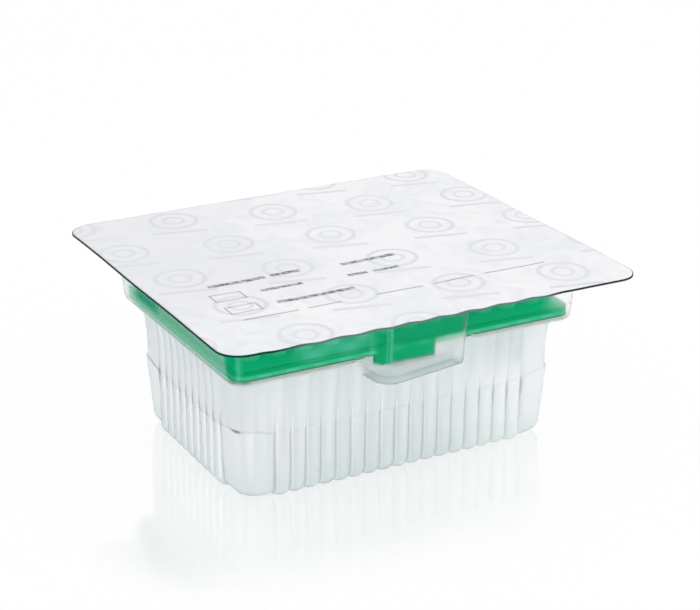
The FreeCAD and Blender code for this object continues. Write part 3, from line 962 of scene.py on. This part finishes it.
# a row of thin lines below them, each from left to right
LINES = ((-54.0, -36.0), (-33.0, -22.0), (-10.0, 6.0), (10.0, 24.0), (28.0, 50.0))
LINES_UP = (-39.0, 0.35)
# two empty boxes beside them, each from its foot to its top
BOXES = ((-22.6, -16.6), (-33.4, -27.4))
BOXES_X, BOXES_HALF, BOXES_LINE = -50.0, 5.2, 0.5


def halves(low, high):
    """A span as its middle and its half length."""
    return (low + high) / 2, (high - low) / 2


def film_rings(n, x, y):
    slant_x = n.maths("ADD", n.times(x, SLANT_COS), n.times(y, -SLANT_SIN))
    slant_y = n.maths("ADD", n.times(x, SLANT_SIN), n.times(y, SLANT_COS))
    level = n.maths("FLOOR", n.maths("DIVIDE", slant_y, CELL_TALL))
    shift = n.times(level, CELL_SHIFT * CELL_WIDE)
    cell_x = n.maths("WRAP", n.maths("ADD", slant_x, shift), CELL_WIDE / 2, -CELL_WIDE / 2)
    cell_y = n.maths("SUBTRACT", slant_y, n.times(n.maths("ADD", level, 0.5), CELL_TALL))
    span = n.length(cell_x, n.maths("SUBTRACT", cell_y, RINGS_UP))
    rings = [n.band(span, radius, half) for radius, half in RINGS]
    return n.largest(*rings, n.block(cell_x, cell_y, *RING_BAR))


def film_lines(n, x, y):
    """The thin lines, and the outlines of the boxes."""
    lines = [n.block(x, y, halves(*line), LINES_UP) for line in LINES]
    for box in BOXES:
        middle, half = halves(*box)
        outer = n.block(x, y, (BOXES_X, BOXES_HALF), (middle, half), 0.2)
        inner = (BOXES_X, BOXES_HALF - BOXES_LINE), (middle, half - BOXES_LINE)
        lines.append(n.maths("SUBTRACT", outer, n.block(x, y, *inner, 0.2)))
    return lines


def film_material():
    """White film with a plain pattern of pale rings and a block of grey bars, under painted shade and
    highlights of its faint wrinkles.
    """
    n = Nodes(bpy.data.materials.new("white_printed_film"))
    x, y = (n.times(value, 1 / MM) for value in n.place()[:2])
    rings = film_rings(n, x, y)
    bars = [
        n.block(x, y, halves(left, right), (middle, half)) for left, right, middle, half in BARS
    ]
    lines = film_lines(n, x, y)
    grain = n.noise(900.0, 1.0)
    bars = n.times(n.largest(*bars), n.ramp(grain, 0.4, 0.6, 0.45, 0.9))
    # the cloud paints broad soft shade over the film, and the crease noise paints the shade and the
    # highlights of its faint wrinkles
    cloud = n.noise(40.0, 2.0)
    crease = n.noise(75.0, 2.0, 2.2)
    tone = n.blend(n.ramp(cloud, 0.35, 0.65), linear(239, 240, 243), linear(245, 245, 247))
    tone = n.blend(n.ramp(crease, 0.5, 0.7, 0.0, 0.4), tone, linear(228, 229, 233))
    tone = n.blend(n.ramp(crease, 0.34, 0.46, 0.35, 0.0), tone, linear(250, 250, 251))
    # painted shade: a little darker towards the back left
    far = n.times(n.ramp(x, -45.0, 5.0, 0.5, 0.0), n.ramp(y, -42.0, -5.0))
    tone = n.blend(far, tone, linear(226, 227, 232))
    rings = n.times(rings, n.ramp(cloud, 0.3, 0.7, 0.6, 1.0))
    tone = n.blend(rings, tone, linear(222, 223, 228))
    lines = n.times(n.largest(*lines), 0.6)
    tone = n.blend(n.largest(bars, lines), tone, linear(78, 80, 86))
    return n.finish(n.open_to_light(n.plastic(tone, 0.5, 0.2), 0.65, (1.0, 1.0, 1.0, 1.0)))


TIP_COLUMNS = 12
TAB_X, TAB_HALF = -2.0, 10.5


def green_material():
    """The moulded plate: deep green, with painted light and shade: paler where the tips behind its
    skirt let light through, lighter on the deck's top, deeper at the skirt's brink and its foot.
    """
    n = Nodes(bpy.data.materials.new("green_moulded_plate"))
    x, y, z = n.place()
    cloud = n.noise(60.0, 1.0)
    tone = n.blend(n.ramp(cloud, 0.35, 0.65), linear(0, 156, 100), linear(2, 164, 108))
    # painted light: the deck's top is lighter
    tone = n.blend(n.over(z, DECK - 0.2, DECK - 0.05), tone, linear(0, 186, 126))
    # painted shade deepens the skirt's brink, and painted light makes its lower half paler
    brink = n.over(z, DECK - 1.3, DECK - 0.7)
    outside = n.largest(*(
        n.over(n.maths("ABSOLUTE", value), half - 1.6, half - 1.0)
        for value, half in ((x, PLATE[0]), (y, PLATE[1]))
    ))
    tone = n.blend(n.times(brink, outside, 0.7), tone, linear(0, 150, 92))
    # painted light: paler windows along the skirt, between the columns of tips
    turns = 2 * math.pi / (2 * GRID_X / (TIP_COLUMNS - 1) * MM)
    along = n.times(n.maths("COSINE", n.times(x, turns)), -1.0)
    low = n.maths("ABSOLUTE", n.maths("SUBTRACT", z, (SEAT + 0.95) * MM))
    window = n.times(n.ramp(along, 0.0, 0.35), n.over(low, 0.35, 0.6, 1.0, 0.0))
    side = n.over(n.maths("ABSOLUTE", y), PLATE[1] - 0.6, PLATE[1] - 0.4)
    from_tab = n.maths("ABSOLUTE", n.maths("ADD", x, -TAB_X * MM))
    off_tab = n.over(from_tab, TAB_HALF - 0.1, TAB_HALF + 0.1)
    skirt = n.times(n.maths("SUBTRACT", 1.0, brink), off_tab)
    tone = n.blend(n.times(skirt, 0.3), tone, linear(90, 214, 170))
    tone = n.blend(n.times(window, side, 0.2), tone, linear(120, 214, 174))
    # painted shade at the skirt's foot, where it stands on the ledge
    foot = n.times(n.over(z, SEAT + 0.1, SEAT + 0.8, 0.75, 0.0), off_tab)
    tone = n.blend(foot, tone, linear(8, 105, 66))
    return n.finish(n.plastic(tone, 0.55, 0.0))


def tip_material():
    """Natural plastic, with painted green light where it stands in the plate and just above it."""
    n = Nodes(bpy.data.materials.new("natural_tip_plastic"))
    z = n.place()[2]
    above = n.over(z, DECK + 3.0, DECK + 6.5, 1.0, 0.0)
    lit = n.times(above, n.over(z, DECK - 0.3, DECK), 0.95)
    tone = n.blend(lit, linear(240, 240, 244), linear(22, 196, 140))
    solid = n.plastic(tone, 0.3, 0.3)
    see = n.add("ShaderNodeBsdfTranslucent", {"Color": tone}).outputs[0]
    return n.finish(n.open_to_light(n.join(0.3, solid, see), 0.85, linear(254, 255, 255)))


def give(thing, material):
    if thing.data.materials:
        thing.data.materials.clear()
    thing.data.materials.append(material)


give(tray, clear_material())
tray.data.materials.append(rim_material())
give(film, film_material())
green = green_material()
tips = tip_material()
for name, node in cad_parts.items():
    if name == "tip_plate":
        give(node, green)
    elif name.startswith("tips_"):
        give(node, tips)

# ---------------------------------------------------------------- floor, light and camera

WHITE = (1, 1, 1, 1)
# the white floor's half size and how far it lies below the part
FLOOR_HALF, FLOOR_BELOW = 3000.0, 0.05
# the world's light, beside the 1.0 that the camera sees of it
SKY_LIGHT = 0.93


def build_floor():
    """A floor that is seen as plain white, with a faint shadow and mirror image of the part."""
    far = FLOOR_HALF
    corners = [(-far, -far, 0), (far, -far, 0), (far, far, 0), (-far, far, 0)]
    floor = mesh_object("floor", corners, [(0, 1, 2, 3)])
    floor.location.z = -FLOOR_BELOW * MM
    n = Nodes(bpy.data.materials.new("floor"))
    beyond = [
        n.largest(n.maths("SUBTRACT", n.maths("ABSOLUTE", value), half * MM), 0.0)
        for value, half in zip(n.place(), BODY)
    ]
    mirror = n.over(n.length(*beyond), 28.0, 60.0, 0.25, 0.0)
    plain = n.add("ShaderNodeBsdfDiffuse", {"Color": WHITE}).outputs[0]
    shine = n.add("ShaderNodeBsdfGlossy", {"Color": WHITE, "Roughness": 0.1}).outputs[0]
    white = n.add("ShaderNodeEmission", {"Strength": 1.0}).outputs[0]
    seen = n.join(mirror, n.join(0.1, white, plain), shine)
    give(floor, n.finish(n.join(n.direct_rays(), plain, seen)))


def build_world():
    world = bpy.data.worlds.new("studio")
    bpy.context.scene.world = world
    n = Nodes(world)
    direct = n.direct_rays()
    seen, lit = (
        n.add("ShaderNodeBackground", {"Color": WHITE, "Strength": strength}).outputs[0]
        for strength in (1.0, SKY_LIGHT)
    )
    n.finish(n.join(direct, lit, seen), "ShaderNodeOutputWorld")


# the lamps' places and sizes are in metres
LAMPS_AIM = (0, 0, 0.03)


def lamp(name, place, size, power):
    light = bpy.data.lights.new(name, "AREA")
    light.shape = "RECTANGLE"
    light.size, light.size_y = size
    light.energy = power
    thing = bpy.data.objects.new(name, light)
    thing.location = place
    thing.rotation_mode = "QUATERNION"
    thing.rotation_quaternion = (Vector(LAMPS_AIM) - Vector(place)).to_track_quat("-Z", "Y")
    bpy.context.scene.collection.objects.link(thing)


# the camera as it was fitted: how far it is turned and raised, its aim and its distance
CAMERA_TURN, CAMERA_RISE = math.radians(-28.354), math.radians(21.394)
CAMERA_AIM, CAMERA_AWAY = (1.904, 0.0, 41.649), 615.92
CAMERA_LENS, CAMERA_SENSOR = 98.31, 36.0


def build_camera():
    back = Vector((
        math.sin(CAMERA_TURN) * math.cos(CAMERA_RISE),
        -math.cos(CAMERA_TURN) * math.cos(CAMERA_RISE),
        math.sin(CAMERA_RISE),
    ))
    data = bpy.data.cameras.new("camera")
    data.lens = CAMERA_LENS
    data.sensor_width = CAMERA_SENSOR
    data.clip_start, data.clip_end = 0.01, 20.0
    camera = bpy.data.objects.new("camera", data)
    camera.location = Vector(CAMERA_AIM) * MM + back * (CAMERA_AWAY * MM)
    camera.rotation_mode = "QUATERNION"
    camera.rotation_quaternion = (-back).to_track_quat("-Z", "Y")
    bpy.context.scene.collection.objects.link(camera)
    bpy.context.scene.camera = camera


build_floor()
build_world()
lamp("overhead", (0.1, 0.25, 0.9), (0.9, 0.7), 0.3)
lamp("right", (0.85, -0.75, 0.22), (0.7, 0.4), 2.2)
lamp("left", (-0.75, -0.75, 0.18), (0.7, 0.4), 1.2)
build_camera()
bpy.context.scene.view_settings.view_transform = "Standard"
bpy.context.scene.cycles.transparent_max_bounces = 64

bpy.context.view_layer.update()
